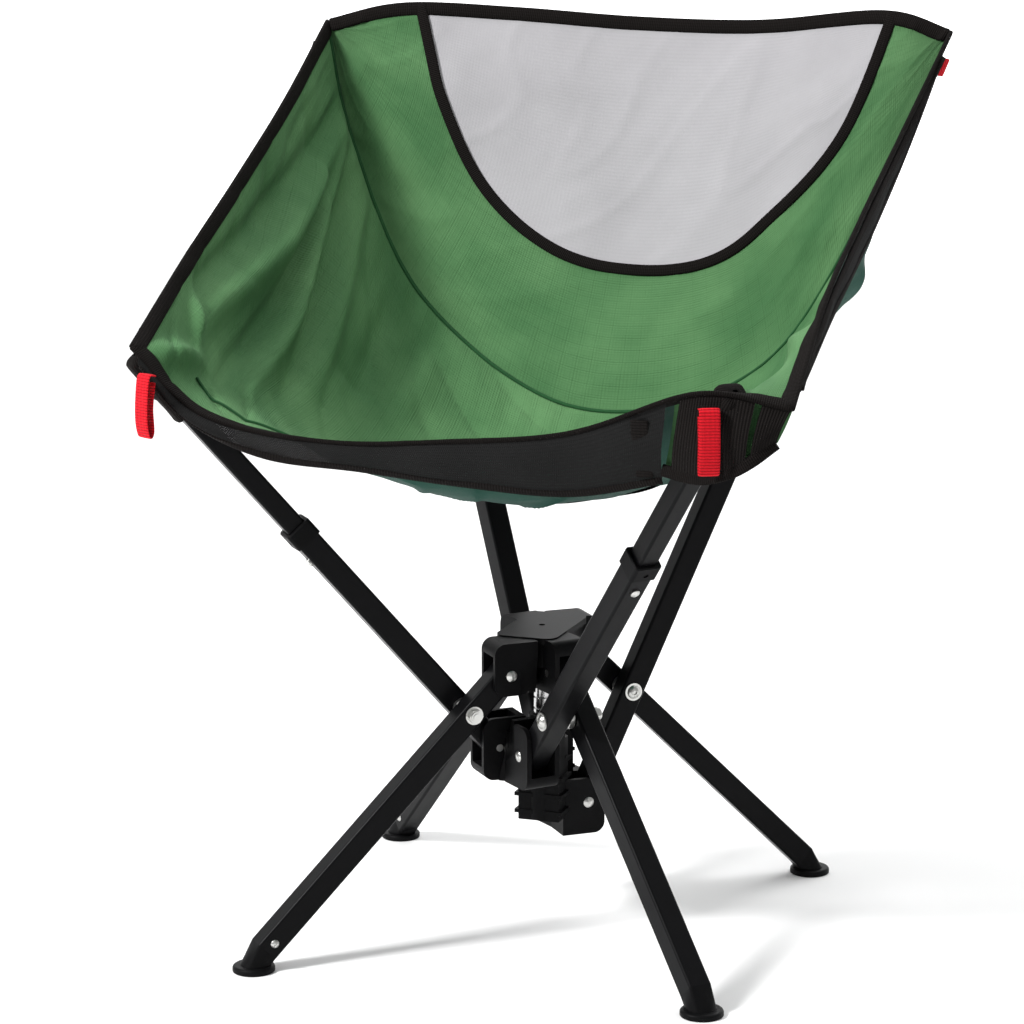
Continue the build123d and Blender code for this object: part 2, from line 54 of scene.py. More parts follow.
SHEEN_ROUGHNESS = 0.5
BUMP_SCALE = 0.001          # metres of relief for a height of 1
RIPSTOP_PERIOD = 0.0052
HOLE_LEVEL = 0.975          # only the peaks of the mesh's pattern are open

# --- materials ---------------------------------------------------------------------------


def new_material(name, color, rough, metallic=0.0, sheen=0.0):
    """Principled material with its constant values on the sockets."""
    material = bpy.data.materials.new(name)
    material.use_nodes = True
    shader = material.node_tree.nodes["Principled BSDF"]
    shader.inputs["Base Color"].default_value = (*color, 1)
    shader.inputs["Roughness"].default_value = rough
    shader.inputs["Metallic"].default_value = metallic
    shader.inputs["Sheen Weight"].default_value = sheen
    shader.inputs["Sheen Roughness"].default_value = SHEEN_ROUGHNESS
    shader.inputs["Specular IOR Level"].default_value = SPECULAR
    return material, material.node_tree, shader


def math_node(tree, operation, a, b=None):
    """Math node fed by sockets or numbers."""
    node = tree.nodes.new("ShaderNodeMath")
    node.operation = operation
    for socket, value in zip(node.inputs, (a, b)):
        if value is None:
            continue
        if isinstance(value, (int, float)):
            socket.default_value = value
        else:
            tree.links.new(value, socket)
    return node.outputs[0]


def texture_noise(tree, coordinate, scale, detail=3.0, rough=0.5):
    """Noise over a texture coordinate, about 0 to 1."""
    node = tree.nodes.new("ShaderNodeTexNoise")
    node.inputs["Scale"].default_value = scale
    node.inputs["Detail"].default_value = detail
    node.inputs["Roughness"].default_value = rough
    tree.links.new(coordinate, node.inputs["Vector"])
    return node.outputs["Fac"]


def tint(tree, factor, low, high, start=0.35, end=0.65):
    """Colour that runs from low to high with a factor."""
    ramp = tree.nodes.new("ShaderNodeValToRGB")
    ramp.color_ramp.elements[0].position = start
    ramp.color_ramp.elements[1].position = end
    ramp.color_ramp.elements[0].color = (*low, 1)
    ramp.color_ramp.elements[1].color = (*high, 1)
    tree.links.new(factor, ramp.inputs[0])
    return ramp.outputs[0]


def add_bump(tree, shader, height, strength, distance):
    """Relief from a height; distance is in metres."""
    bump = tree.nodes.new("ShaderNodeBump")
    bump.inputs["Strength"].default_value = strength
    bump.inputs["Distance"].default_value = distance
    tree.links.new(height, bump.inputs["Height"])
    tree.links.new(bump.outputs[0], shader.inputs["Normal"])


def grid_wave(tree, coordinate, axis, period):
    """Sine of one texture coordinate, from 0 to 1."""
    split = tree.nodes.new("ShaderNodeSeparateXYZ")
    tree.links.new(coordinate, split.inputs[0])
    turned = math_node(tree, "MULTIPLY", split.outputs[axis], 2 * math.pi / period)
    return math_node(tree, "MULTIPLY_ADD", math_node(tree, "SINE", turned), 0.5)


def woven(name, low, high, rough, period, weave, crease, grid=0.0, sheen=0.05):
    """Woven cloth: soft colour drift, weave, small creases and, with grid, a ripstop square."""
    material, tree, shader = new_material(name, high, rough, sheen=sheen)
    place = tree.nodes.new("ShaderNodeTexCoord").outputs["UV"]
    drift = texture_noise(tree, place, 9.0, 4.0)
    tree.links.new(tint(tree, drift, low, high), shader.inputs["Base Color"])
    warp = grid_wave(tree, place, 0, period)
    weft = grid_wave(tree, place, 1, period)
    height = math_node(tree, "MULTIPLY", math_node(tree, "ADD", warp, weft), weave)
    creases = texture_noise(tree, place, 26.0, 5.0, 0.55)
    height = math_node(tree, "ADD", height, math_node(tree, "MULTIPLY", creases, crease))
    if grid:
        for axis in (0, 1):
            line = math_node(tree, "POWER", grid_wave(tree, place, axis, RIPSTOP_PERIOD), 14.0)
            height = math_node(tree, "ADD", height, math_node(tree, "MULTIPLY", line, grid))
    add_bump(tree, shader, height, 1.0, BUMP_SCALE)
    return material


def plastic(name, color, rough, grain):
    """Moulded plastic with a fine grain."""
    material, tree, shader = new_material(name, color, rough)
    place = tree.nodes.new("ShaderNodeTexCoord").outputs["Object"]
    add_bump(tree, shader, texture_noise(tree, place, 900.0, 2.0), 0.25, grain)
    drift = texture_noise(tree, place, 30.0)
    lighter = tuple(c * 1.5 for c in color)
    tree.links.new(tint(tree, drift, color, lighter), shader.inputs["Base Color"])
    return material


def metal(name, color, rough, metallic):
    """Bare or coated metal whose roughness drifts a little."""
    material, tree, shader = new_material(name, color, rough, metallic)
    place = tree.nodes.new("ShaderNodeTexCoord").outputs["Object"]
    drift = texture_noise(tree, place, 60.0, 4.0)
    spread = math_node(tree, "MULTIPLY_ADD", drift, 0.12)
    spread.node.inputs[2].default_value = rough - 0.06
    tree.links.new(spread, shader.inputs["Roughness"])
    return material


def mesh_cloth(name, color, period):
    """Open knitted mesh: small holes cut by the weave's own pattern."""
    material, tree, shader = new_material(name, color, 0.8)
    place = tree.nodes.new("ShaderNodeTexCoord").outputs["UV"]
    warp = grid_wave(tree, place, 0, period)
    weft = grid_wave(tree, place, 1, period)
    hole = math_node(tree, "MULTIPLY", warp, weft)
    solid = math_node(tree, "LESS_THAN", hole, HOLE_LEVEL)
    tree.links.new(solid, shader.inputs["Alpha"])
    add_bump(tree, shader, hole, 0.6, 0.0008)
    return material


def ribbed(name, color, period, rough=0.85):
    """Webbing or tape with ribs across its length; the grooves between the ribs are painted darker as
    shade.
    """
    material, tree, shader = new_material(name, color, rough)
    place = tree.nodes.new("ShaderNodeTexCoord").outputs["UV"]
    rib = grid_wave(tree, place, 0, period)
    cross = math_node(tree, "MULTIPLY", grid_wave(tree, place, 1, period * 0.7), 0.4)
    add_bump(tree, shader, math_node(tree, "ADD", rib, cross), 0.9, 0.0005)
    # painted shade: the low grooves between the ribs get a darker colour
    painted_groove_shade = tuple(c * 0.55 for c in color)
    tree.links.new(tint(tree, rib, painted_groove_shade, color, 0.1, 0.6), shader.inputs["Base Color"])
    return material


DEEP_GREEN, LIGHT_GREEN = (0.048, 0.130, 0.050), (0.088, 0.196, 0.082)
# painted shadow: the seam tapes' darker green is the real seam ridge plus a painted shadow line along
# it
SEAM_SHADOW_DARK, SEAM_SHADOW_LIGHT = (0.012, 0.055, 0.018), (0.018, 0.080, 0.026)
TEAL_DARK, TEAL_LIGHT = (0.008, 0.045, 0.032), (0.012, 0.062, 0.043)
GREY_DARK, GREY_LIGHT = (0.32, 0.312, 0.326), (0.36, 0.351, 0.367)
GREEN = woven("green_cloth", DEEP_GREEN, LIGHT_GREEN, 0.72, 0.0021, 0.15, 1.3, 0.12, sheen=0.03)
SEAM_SHADOW_GREEN = woven("green_seam_painted_shadow", SEAM_SHADOW_DARK, SEAM_SHADOW_LIGHT, 0.8, 0.0009, 0.2, 0.6)
TEAL = woven("coated_lining", TEAL_DARK, TEAL_LIGHT, 0.62, 0.0009, 0.1, 1.2, sheen=0.0)
GREY = woven("grey_cloth", GREY_DARK, GREY_LIGHT, 0.75, 0.0031, 0.06, 0.5)
BINDING = ribbed("binding_tape", (0.008, 0.0065, 0.006), 0.0016)
BLACK_WEB = ribbed("black_webbing", (0.009, 0.0075, 0.007), 0.0022)
RED_WEB = ribbed("red_webbing", (0.64, 0.010, 0.020), 0.0021, 0.6)
MESH = mesh_cloth("black_mesh", (0.010, 0.010, 0.010), 0.0016)
POWDER = metal("black_powder", (0.004, 0.004, 0.0045), 0.34, 0.0)
ZINC = metal("zinc", (0.58, 0.58, 0.56), 0.3, 1.0)
BRIGHT = metal("bright_steel", (0.5, 0.5, 0.5), 0.22, 1.0)
MOULDED = plastic("black_moulding", (0.003, 0.003, 0.0033), 0.5, 0.00015)

CAD_LOOKS = {
    "black_tube": POWDER,
    "black_plastic": MOULDED,
    "zinc_steel": ZINC,
    "post_steel": BRIGHT,
    "green_fabric": GREEN,
    "grey_fabric": GREY,
    "black_binding": BINDING,
    "black_mesh": MESH,
    "black_webbing": BLACK_WEB,
    "red_webbing": RED_WEB,
}
for part in frame["record"]["subparts"]:
    mesh = frame["nodes"][part["node"]].data
    mesh.materials.clear()
    mesh.materials.append(CAD_LOOKS[part["material_slot"]])

# --- the seat's shape, in millimetres --------------------------------------------------------
# Rows run from the left rim, down through the pan and up to the right rim.

LEFT_TOP, RIGHT_TOP = (-262, 204, 700), (274, 191, 702)
SEAM = [
    LEFT_TOP, (-230, 183, 600), (-150, 141, 477), (-5, 104, 402),
    (143, 106, 440), (224, 150, 575), RIGHT_TOP,
]
BODY = [
    [(-238, -233, 488), (-182, -234, 441), (-89, -229, 426), (5, -226, 431),
     (102, -231, 444), (198, -248, 480), (263, -238, 471)],
    [(-244, -125, 540), (-205, -135, 462), (-125, -140, 400), (0, -145, 378),
     (130, -140, 400), (212, -135, 458), (257, -125, 531)],
    [(-247, -20, 590), (-212, -22, 488), (-140, -38, 390), (0, -45, 354),
     (140, -38, 392), (218, -20, 485), (257, -20, 580)],
    [(-252, 90, 643), (-222, 80, 535), (-146, 55, 420), (0, 40, 362),
     (146, 50, 415), (228, 75, 525), (260, 90, 631)],
    SEAM,
]
TOP = [
    LEFT_TOP, (-200, 222, 714), (-105, 238, 711), (0, 240, 705),
    (110, 228, 705), (219, 199, 716), RIGHT_TOP,
]
MIDDLE = [
    LEFT_TOP, (-207, 196, 650), (-112, 188, 580), (0, 184, 552),
    (108, 172, 566), (216, 172, 640), RIGHT_TOP,
]
BACK = [TOP, MIDDLE, SEAM]


def catmull(points, t):
    """Point on a smooth curve through evenly spaced points; t from 0 to 1."""
    points = np.asarray(points, float)
    count = len(points) - 1
    place = min(max(t, 0.0), 1.0) * count
    i = min(int(place), count - 1)
    f = place - i
    p1, p2 = points[i], points[i + 1]
    p0 = points[i - 1] if i > 0 else 2 * p1 - p2
    p3 = points[i + 2] if i + 2 <= count else 2 * p2 - p1
    return 0.5 * (
        2 * p1 + (p2 - p0) * f + (2 * p0 - 5 * p1 + 4 * p2 - p3) * f * f
        + (3 * p1 - p0 - 3 * p2 + p3) * f * f * f
    )


def surface(net, s, t):
    """Point on the sheet through a net of control rows, in millimetres."""
    return catmull([catmull(row, t) for row in net], s)


def ridge(s, t, s0, t0, s1, t1, width, height):
    """Soft fold along a line in the sheet's own coordinates."""
    ds, dt = s1 - s0, t1 - t0
    along = ((s - s0) * ds + (t - t0) * dt) / (ds * ds + dt * dt)
    held = min(max(along, 0.0), 1.0)
    gap = math.hypot(s - s0 - held * ds, t - t0 - held * dt)
    fade = math.sin(math.pi * min(max(0.08 + 0.84 * along, 0.0), 1.0))
    return height * fade * math.exp(-((gap / width) ** 2))


# Each fold runs from (s, t) to (s, t). Then come its width, the distance in those coordinates
# at which it has fallen to 1/e, and its height in millimetres, before FOLD_GAIN and the
# sheet's slack. s runs from the first row of a net to the last, t from left to right.
BODY_FOLDS = [
    (1.00, 0.138, 0.20, 0.085, 0.026, 11.0),
    (0.95, 0.105, 0.22, 0.040, 0.018, -7.0),
    (0.93, 0.140, 0.15, 0.170, 0.013, -6.0),
    (0.93, 0.150, 0.22, 0.215, 0.013, 7.0),
    (0.95, 0.175, 0.32, 0.245, 0.014, -6.0),
    (0.97, 0.215, 0.50, 0.260, 0.014, 4.5),
    (0.94, 0.290, 0.58, 0.300, 0.014, -3.5),
    (0.92, 0.360, 0.64, 0.350, 0.014, 3.0),
    (0.01, 0.030, 0.16, 0.130, 0.020, 6.0),
    (0.25, 0.020, 0.15, 0.130, 0.018, 4.5),
    (0.15, 0.980, 0.60, 0.760, 0.020, 6.0),
    (0.45, 0.970, 0.90, 0.740, 0.018, -5.0),
    (0.70, 0.600, 0.99, 0.660, 0.016, 3.0),
]
BACK_FOLDS = [
    (0.55, 0.30, 0.98, 0.22, 0.024, 4.0),
    (0.60, 0.70, 0.97, 0.80, 0.024, -4.0),
    (0.40, 0.12, 0.95, 0.10, 0.020, -3.5),
    (0.30, 0.86, 0.90, 0.91, 0.020, 3.5),
    (0.20, 0.45, 0.60, 0.55, 0.050, 1.0),
]
FOLD_GAIN = 2.0
CREASE_DEPTH = 3.2
PUCKER_HEIGHT = 4.0
PUCKER_FADE = 0.055         # where the puckers are highest, in s from the seam
SEAM_S = 1.0                # the back seam is the last row of both sheets
EDGE_FADE = 0.04            # folds die out over this share of a sheet at its edges
BODY_SLACK, BACK_SLACK = 0.9, 0.26


def wrinkles(s, t, place):
    """Height of the small unevenness: soft waves, sharp creases and puckers at a seam."""
    lift = 1.8 * noise.noise(place) + 0.9 * noise.noise(place * 2.7)
    streak = noise.noise(Vector((t * 26 + s * 9, s * 4, 7.7)))
    line = noise.noise(Vector((t * 9 + s * 3, s * 2.4, 3.1)))
    lift += 1.3 * streak - CREASE_DEPTH * max(0.0, 1 - abs(line) * 7) ** 2
    away = abs(s - SEAM_S) / PUCKER_FADE
    gather = noise.noise(Vector((t * 55, SEAM_S * 5, away * 0.3)))
    return lift + PUCKER_HEIGHT * gather * away * math.exp(1 - away)


def sheet_grid(net, folds, rows, slack):
    """Grid of points in metres, with folds scaled by slack, and the plain sheet's normals."""
    flat = np.zeros((rows + 1, COLUMNS + 1, 3))
    for i in range(rows + 1):
        for j in range(COLUMNS + 1):
            flat[i, j] = surface(net, i / rows, j / COLUMNS)
    down = np.gradient(flat, axis=0)
    along = np.gradient(flat, axis=1)
    normal = np.cross(along, down)
    length = np.linalg.norm(normal, axis=2, keepdims=True)
    normal = normal / np.maximum(length, 1e-6)
    for i in range(rows + 1):
        for j in range(COLUMNS + 1):
            s, t = i / rows, j / COLUMNS
            held = min(1.0, min(s, 1 - s, t, 1 - t) / EDGE_FADE)
            lift = FOLD_GAIN * sum(ridge(s, t, *fold) for fold in folds)
            lift += wrinkles(s, t, Vector((flat[i, j] * 0.016).tolist()))
            flat[i, j] += normal[i, j] * lift * held * slack
    return flat * MM, normal


ROWS, COLUMNS, BACK_ROWS = 110, 150, 80
body_grid, body_normal = sheet_grid(BODY, BODY_FOLDS, ROWS, BODY_SLACK)
back_grid, back_normal = sheet_grid(BACK, BACK_FOLDS, BACK_ROWS, BACK_SLACK)

# Insert's outline on the back, as (t, s) pairs: down one side, round and up the other.
INSERT = [
    (0.194, 0.0), (0.225, 0.225), (0.25, 0.363), (0.30, 0.50), (0.363, 0.585), (0.44, 0.635),
    (0.53, 0.645), (0.631, 0.645), (0.70, 0.61), (0.781, 0.54), (0.82, 0.36), (0.85, 0.0),
]
insert_line = [catmull(INSERT, k / 120) for k in range(121)]


def inside_insert(s, t):
    """Whether a place on the back lies in the insert, by crossings of its outline."""
    inside = False
    for (x0, y0), (x1, y1) in zip(insert_line, insert_line[1:] + insert_line[:1]):
        if (y0 > s) != (y1 > s) and t < x0 + (s - y0) * (x1 - x0) / (y1 - y0):
            inside = not inside
    return inside


def on_grid(grid, s, t):
    """Point on a sheet's grid at (s, t)."""
    i, j = s * (grid.shape[0] - 1), t * (grid.shape[1] - 1)
    i0, j0 = min(int(i), grid.shape[0] - 2), min(int(j), grid.shape[1] - 2)
    fi, fj = i - i0, j - j0
    low = grid[i0, j0] * (1 - fj) + grid[i0, j0 + 1] * fj
    high = grid[i0 + 1, j0] * (1 - fj) + grid[i0 + 1, j0 + 1] * fj
    return low * (1 - fi) + high * fi


def route(points, count):
    """Smooth path in metres through points in millimetres."""
    return np.array([catmull(points, k / (count - 1)) for k in range(count)]) * MM


def between(top, bottom, rows, bulge, ripple=0.0):
    """Grid of points from one edge to another, bulging and rippling in the middle."""
    grid = []
    for k in range(rows + 1):
        share = k / rows
        line = top * (1 - share) + bottom * share
        swell = math.sin(math.pi * share)
        for index in range(len(line)):
            place = Vector((line[index] / MM * 0.02).tolist())
            line[index] += np.array(bulge) * MM * swell * (1 + ripple * noise.noise(place))
        grid.append(line)
    return np.array(grid)


def grid_mesh(name, grid, keep=None):
    """Mesh from a grid of points, with texture coordinates in metres along the sheet."""
    rows, columns = grid.shape[0], grid.shape[1]
    across = np.linalg.norm(np.diff(grid, axis=1), axis=2)
    down = np.linalg.norm(np.diff(grid, axis=0), axis=2)
    u = np.concatenate([[0], np.cumsum(across[rows // 2])])
    v = np.concatenate([[0], np.cumsum(down[:, columns // 2])])
    faces, places = [], []
    for i in range(rows - 1):
        for j in range(columns - 1):
            if keep is None or keep(i, j):
                quad = [(i, j), (i, j + 1), (i + 1, j + 1), (i + 1, j)]
                faces.append([a * columns + b for a, b in quad])
                places += [(u[b], v[a]) for a, b in quad]
    mesh = bpy.data.meshes.new(name)
    mesh.from_pydata(grid.reshape(-1, 3).tolist(), [], faces)
    layer = mesh.uv_layers.new(name="UVMap")
    for loop, place in zip(layer.data, places):
        loop.uv = place
    return mesh


# --- how the fabric is cut into pieces at the arms --------------------------------------------
# In each corner the cloth is cut into an arm region and a tip region by its rules. The pieces are cut
# where two rules give one answer.

MIDDLE_Y = 5.0
FRONT_RULE = {"x": (10, 155), "y": (25, 140), "tip_x": (170, 52), "tip_y": (168, 50)}
BACK_RULE = {"x": (8, 100), "y": (30, 98), "tip_x": (112, 100), "tip_y": (132, 66)}


def corner_plane(sx, sy, rule_x, rule_y):
    """Upright plane on which the two rules of a corner agree, as point and normal."""
    direction = Vector((sx * rule_x[1], sy * rule_y[1], 0))
    point = Vector((sx * rule_x[0], MIDDLE_Y + sy * rule_y[0], 0)) * MM
    return point, Vector((-direction.y, direction.x, 0)).normalized()


def cut(bm, point, normal):
    """Splits the faces that a plane crosses."""
    geometry = bm.verts[:] + bm.edges[:] + bm.faces[:]
    bmesh.ops.bisect_plane(bm, geom=geometry, dist=1e-7, plane_co=point, plane_no=normal)


def drape(name, mesh, material, nodes=(), cloth=None):
    """Cuts a fabric mesh by its rules into one piece for each region."""
    bm = bmesh.new()
    bm.from_mesh(mesh)
    loose = [v for v in bm.verts if not v.link_faces]
    bmesh.ops.delete(bm, geom=loose, context="VERTS")
    cut(bm, Vector((0, 0, 0)), Vector((1, 0, 0)))
    cut(bm, Vector((0, MIDDLE_Y * MM, 0)), Vector((0, 1, 0)))
    for sy, rule in ((-1, FRONT_RULE), (1, BACK_RULE)):
        for sx in (-1, 1):
            cut(bm, *corner_plane(sx, sy, rule["x"], rule["y"]))
            cut(bm, *corner_plane(sx, sy, rule["tip_x"], rule["tip_y"]))
            cut(bm, Vector((sx * rule["tip_x"][0] * MM, 0, 0)), Vector((1, 0, 0)))
            y = (MIDDLE_Y + sy * rule["tip_y"][0]) * MM
            cut(bm, Vector((0, y, 0)), Vector((0, 1, 0)))
    bm.normal_update()
    bm.verts.ensure_lookup_table()
    uv = bm.loops.layers.uv.active
    groups = {}
    for face in bm.faces:
        centre = face.calc_center_median() / MM
        groups.setdefault(region_of(centre), []).append(face)
    made = []
    for key, faces in sorted(groups.items()):
        made.append(piece_of(name, key, faces, uv, material))
    bm.free()
    if nodes:
        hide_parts(*nodes)
    if cloth:
        for piece in made:
            declare(piece)


def region_of(centre):
    """Corner, arm or tip, and the axis whose rule holds at a place in millimetres."""
    sx = -1 if centre.x < 0 else 1
    sy = -1 if centre.y < MIDDLE_Y else 1
    rule = FRONT_RULE if sy < 0 else BACK_RULE
    x, y = abs(centre.x), abs(centre.y - MIDDLE_Y)
    tip = x > rule["tip_x"][0] and y > rule["tip_y"][0]
    first, second = ("tip_x", "tip_y") if tip else ("x", "y")
    share_x = (x - rule[first][0]) / rule[first][1]
    share_y = (y - rule[second][0]) / rule[second][1]
    corner = ("f" if sy < 0 else "b") + ("l" if sx < 0 else "r")
    return corner, "tip" if tip else "arm", "x" if share_x < share_y else "y"


def piece_of(name, key, faces, uv, material):
    """Object made of one region's faces, with the whole sheet's smooth normals."""
    corner, part, axis = key
    verts, order = {}, []
    for face in faces:
        for vert in face.verts:
            if vert.index not in verts:
                verts[vert.index] = len(order)
                order.append(vert)
    label = "_".join((name, corner, part, axis))
    mesh = bpy.data.meshes.new(label)
    mesh.from_pydata([v.co[:] for v in order], [], [[verts[v.index] for v in f.verts] for f in faces])
    if uv is not None:
        layer = mesh.uv_layers.new(name="UVMap")
        places = [loop[uv].uv[:] for face in faces for loop in face.loops]
        for target, place in zip(layer.data, places):
            target.uv = place
    mesh.polygons.foreach_set("use_smooth", [True] * len(mesh.polygons))
    mesh.normals_split_custom_set_from_vertices([v.normal[:] for v in order])
    mesh.materials.append(material)
    piece = bpy.data.objects.new(label, mesh)
    bpy.context.scene.collection.objects.link(piece)
    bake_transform(piece)
    return piece


SMALLEST_SIDE = 0.012
# Shares of a rectangle that the area may fill.
FULL_SHARE, LEAST_SHARE, SCALED_SHARE = 1 / 1.02, 0.31, 0.32


def declare(piece):
    """Works out a cut piece of cloth's area and pattern size; neither is kept."""
    mesh = piece.data
    area = sum(face.area for face in mesh.polygons)
    places = np.array([loop.uv[:] for loop in mesh.uv_layers[0].data])
    size = np.maximum(places.max(0) - places.min(0), SMALLEST_SIDE)
    if size[0] * size[1] < area:
        size = size * math.sqrt(area / (FULL_SHARE * size[0] * size[1]))
    if area < LEAST_SHARE * size[0] * size[1]:
        size = size * math.sqrt(area / (SCALED_SHARE * size[0] * size[1]))


# --- tapes ---------------------------------------------------------------------------------


def tape_mesh(name, path, inward, width, thick, sides=12, shift=0.0):
    """Flat tape with rounded edges; inward points across it, and shift moves it that way."""
    path = np.asarray(path, float)
    inward = np.asarray(inward, float)
    tangent = np.gradient(path, axis=0)
    tangent /= np.maximum(np.linalg.norm(tangent, axis=1, keepdims=True), 1e-9)
    inward = inward - (inward * tangent).sum(1, keepdims=True) * tangent
    inward /= np.maximum(np.linalg.norm(inward, axis=1, keepdims=True), 1e-9)
    normal = np.cross(tangent, inward)
    run = np.concatenate([[0], np.cumsum(np.linalg.norm(np.diff(path, axis=0), axis=1))])
    points, places = [], []
    for i in range(len(path)):
        for k in range(sides):
            angle = 2 * math.pi * k / sides
            c, s = math.cos(angle), math.sin(angle)
            a = math.copysign(abs(c) ** 0.5, c) * width / 2 + shift
            b = math.copysign(abs(s) ** 0.7, s) * thick / 2
            points.append(path[i] + inward[i] * a + normal[i] * b)
    faces = []
    for i in range(len(path) - 1):
        for k in range(sides):
            m = (k + 1) % sides
            faces.append([i * sides + k, i * sides + m, (i + 1) * sides + m, (i + 1) * sides + k])
            places += [(run[i], k / sides * width * 2), (run[i], (k + 1) / sides * width * 2),
                       (run[i + 1], (k + 1) / sides * width * 2), (run[i + 1], k / sides * width * 2)]
    last = (len(path) - 1) * sides
    faces.append([k for k in range(sides - 1, -1, -1)])
    faces.append([last + k for k in range(sides)])
    places += [(0, 0)] * (2 * sides)
    mesh = bpy.data.meshes.new(name)
    mesh.from_pydata([p.tolist() for p in points], [], faces)
    layer = mesh.uv_layers.new(name="UVMap")
    for loop, place in zip(layer.data, places):
        loop.uv = place
    return mesh


def soften(path, passes=6):
    """Evens out a path's small waves, ends held."""
    path = np.array(path, float)
    for _ in range(passes):
        path[1:-1] = 0.5 * path[1:-1] + 0.25 * (path[:-2] + path[2:])
    return path


# --- seat ----------------------------------------------------------------------------------
inside = [
    [inside_insert((i + 0.5) / BACK_ROWS, (j + 0.5) / COLUMNS) for j in range(COLUMNS)]
    for i in range(BACK_ROWS)
]
body_mesh = grid_mesh("body", body_grid)
border_mesh = grid_mesh("back_border", back_grid, lambda i, j: not inside[i][j])
insert_mesh = grid_mesh("back_insert", back_grid, lambda i, j: inside[i][j])
side_nodes = ["seat_base", "seat_side_l", "seat_side_r"]
drape("body", body_mesh, GREEN, side_nodes, "gathered")
drape("border", border_mesh, GREEN, ["seat_back"], "stretched")
drape("insert", insert_mesh, GREY, ["back_insert"], "stretched")

LINING_GAP = 0.0016
pan_lining = grid_mesh("pan_lining", body_grid - body_normal * LINING_GAP)
back_lining = grid_mesh("back_lining", back_grid + back_normal * LINING_GAP)
drape("pan_lining", pan_lining, TEAL, cloth="gathered")
drape("back_lining", back_lining, TEAL, cloth="stretched")

# --- bindings and seams --------------------------------------------------------------------
# Each tape is given as (width, thickness) in metres.
RIM_TAPE = (0.0120, 0.0038)
RIM_SHIFT = 0.0036
INSERT_TAPE = (0.0094, 0.0024)
INSERT_LIFT = 0.0010        # keeps the tape's back face off the lining
EDGES = {
    "front": (body_grid[0], body_grid[2] - body_grid[0]),
    "right": (body_grid[:, -1], body_grid[:, -3] - body_grid[:, -1]),
    "left": (body_grid[:, 0], body_grid[:, 2] - body_grid[:, 0]),
    "top": (back_grid[0], back_grid[3] - back_grid[0]),
}
for label, (path, inward) in EDGES.items():
    tape = tape_mesh("binding_" + label, soften(path), inward, *RIM_TAPE, shift=RIM_SHIFT)
    nodes = ["rim_binding"] if label == "front" else ()
    drape("binding_" + label, tape, BINDING, nodes)

facing_grid = back_grid - back_normal * INSERT_LIFT
on_back = soften([on_grid(facing_grid, s, t) for t, s in insert_line], 3)
BACK_FACES = [0, -0.9, 0.4]     # roughly the way the back's inner side looks
outward = np.cross(np.gradient(on_back, axis=0), np.tile(BACK_FACES, (len(on_back), 1)))
tape = tape_mesh("insert_binding", on_back, outward, *INSERT_TAPE)
drape("insert_binding", tape, BINDING)


def seam(name, pairs, width, thick, lift, material):
    """Tape on the body sheet along (s, t) pairs, lifted to the inside or the outside."""
    line = [catmull(pairs, k / 80) for k in range(81)]
    normals = np.array([on_grid(body_normal, *place) for place in line])
    path = np.array([on_grid(body_grid, *place) for place in line]) + normals * lift
    across = np.cross(np.gradient(path, axis=0), normals)
    drape(name, tape_mesh(name, path, across, width, thick), material)


back_seam = [(0.996, 0.01), (0.996, 0.25), (0.996, 0.5), (0.996, 0.75), (0.996, 0.99)]
facing_seam = [(0.10, 0.13), (0.088, 0.21), (0.074, 0.31), (0.052, 0.42), (0.012, 0.52)]
pan_strap = [(0.55, 0.32), (0.55, 0.42), (0.55, 0.5), (0.55, 0.58), (0.55, 0.68)]
# the seam tapes are real ridges, drawn in a darker green as a painted shadow line along the seam
seam("back_seam", back_seam, 0.0034, 0.0022, 0.0002, SEAM_SHADOW_GREEN)
seam("facing_seam", facing_seam, 0.0022, 0.0018, 0.0010, SEAM_SHADOW_GREEN)
seam("pan_strap", pan_strap, 0.020, 0.0014, -0.0036, BLACK_WEB)

# --- front skirt, its strip and the panels at the front right corner ---------------------------
SKIRT_LOW = [
    (-230, -237, 474), (-192, -237, 436), (-135, -232, 412), (-62, -224, 405),
    (15, -219, 398), (95, -218, 396), (168, -228, 412),
]
SKIRT_FROM, SKIRT_TO = 0.02, 0.79
CORNER_LOW = [
    (170, -234, 422), (199, -246, 420), (222, -251, 426), (238, -250, 435), (253, -240, 447),
]
# Each panel's share of the hem, in t, and of CORNER_LOW.
CORNER_PANELS = {"corner_panel": (0.81, 0.935, 0.06, 0.68), "end_panel": (0.948, 1.0, 0.73, 1.0)}


def hem_line(first, last, count):
    """Points along the front hem between two values of t."""
    places = np.linspace(first, last, count)
    return np.array([on_grid(body_grid, 0, t) for t in places])


skirt_top = hem_line(SKIRT_FROM, SKIRT_TO, 90)
skirt_low = route(SKIRT_LOW, 90)
skirt = between(skirt_top, skirt_low, 14, (0, -5, 0), 1.2)
drape("skirt", grid_mesh("skirt", skirt), MESH, ["front_skirt"], "hung")
hem = tape_mesh("skirt_hem", skirt_low, skirt[-2] - skirt_low, 0.0062, 0.0022, shift=0.002)
drape("skirt_hem", hem, BLACK_WEB)
strip = route([(155, -243, 458), (155.5, -239, 440), (156, -231, 416)], 30)
strip_mesh = tape_mesh("strip", strip, np.tile([1.0, 0, 0], (len(strip), 1)), 0.013, 0.0014)
drape("front_strip", strip_mesh, BLACK_WEB, ["front_strap"])
for name, (first, last, low_from, low_to) in CORNER_PANELS.items():
    low = np.array([catmull(CORNER_LOW, u) for u in np.linspace(low_from, low_to, 40)]) * MM
    panel = between(hem_line(first, last, 40), low, 16, (0, -4, 0), 0.8)
    drape(name, grid_mesh(name, panel), BLACK_WEB, cloth="hung")
corner_low = route(CORNER_LOW, 60)
BEHIND = np.array([0, 5, 0]) * MM
